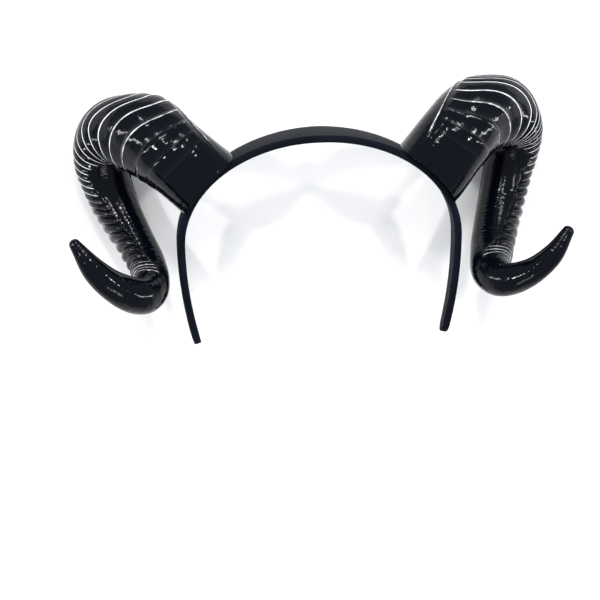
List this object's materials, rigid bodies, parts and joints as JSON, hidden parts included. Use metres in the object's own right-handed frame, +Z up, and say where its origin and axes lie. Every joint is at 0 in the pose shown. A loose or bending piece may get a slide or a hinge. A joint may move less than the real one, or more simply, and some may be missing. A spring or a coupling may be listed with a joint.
{
  "type": "devil horns headband",
  "caption": "Cloth-covered headband carrying a pair of glossy, ringed, ram-like costume horns that curl back, down and forward beside the head.",
  "frame": {"origin": "middle of the footprint, on the surface that the headband lies on", "axes": "+Z up, +X to the wearer's left across both horns, -Y from the crown towards the ends of the band"},
  "size_m": [0.292, 0.1502, 0.0831],
  "materials": {
    "cloth_cover": "satin",
    "black_gloss": "gloss"
  },
  "bodies": {
    "root": {"band": "cloth_cover", "horn_left": "black_gloss", "horn_right": "black_gloss"}
  },
  "joints": []
}
